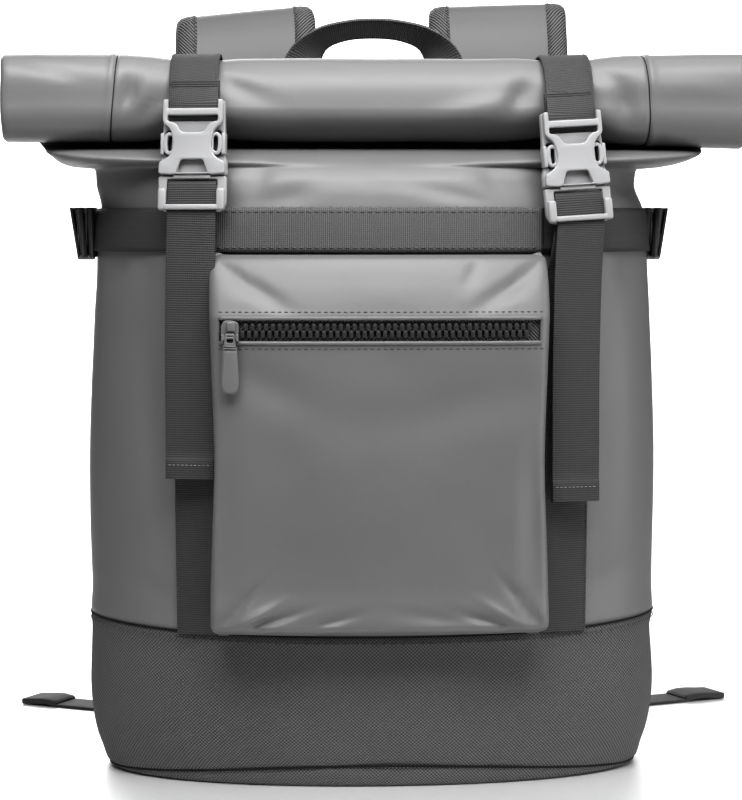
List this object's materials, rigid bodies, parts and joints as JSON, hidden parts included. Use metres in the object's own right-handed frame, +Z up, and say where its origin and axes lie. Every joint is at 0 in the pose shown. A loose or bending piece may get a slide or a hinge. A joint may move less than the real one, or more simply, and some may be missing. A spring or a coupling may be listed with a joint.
{
  "type": "rolltop backpack",
  "caption": "Rolltop backpack of coated cloth with buckled closing straps, zipped front pocket, woven base, haul handle and padded shoulder straps",
  "frame": {"origin": "middle of the footprint on the floor, under the middle of the bounding box", "axes": "+X to the right seen from the front, +Y to the back, +Z up; the pocket faces -Y"},
  "size_m": [0.4628, 0.3062, 0.4516],
  "materials": {
    "coated_cloth": "satin polyurethane-coated cloth",
    "pad_cloth": "satin coated cloth over foam, edges bound with twill tape",
    "woven_base": "coarse woven polyester",
    "webbing": "ribbed polyester webbing",
    "light_plastic": "moulded acetal, satin",
    "dark_plastic": "moulded acetal, matte"
  },
  "bodies": {
    "bag": {"body_shell": "coated_cloth", "roll_top": "coated_cloth", "base": "woven_base", "front_pocket": "coated_cloth", "zipper_tape": "woven_base", "zipper_teeth": "dark_plastic", "zipper_slider": "dark_plastic", "front_band": "webbing", "back_yoke": "woven_base", "haul_handle": "webbing", "side_strap_left": "webbing", "side_slider_left": "light_plastic", "buckle_socket_left": "light_plastic", "buckle_plug_left": "light_plastic", "roll_strap_left": "webbing", "front_strap_left": "webbing", "shoulder_strap_left": "pad_cloth", "strap_lock_left": "dark_plastic", "strap_anchor_left": "woven_base", "lower_strap_left": "webbing", "side_strap_right": "webbing", "side_slider_right": "light_plastic", "buckle_socket_right": "light_plastic", "buckle_plug_right": "light_plastic", "roll_strap_right": "webbing", "front_strap_right": "webbing", "shoulder_strap_right": "pad_cloth", "strap_lock_right": "dark_plastic", "strap_anchor_right": "woven_base", "lower_strap_right": "webbing"},
    "pull": {"zipper_pull": "dark_plastic"}
  },
  "joints": [
    {"name": "zipper_pull_swing", "type": "hinge", "parent": "bag", "child": "pull", "pos_m": [-0.0792, -0.15078, 0.25305], "axis": [-1, 0, 0], "range_deg": [0, 140]}
  ]
}
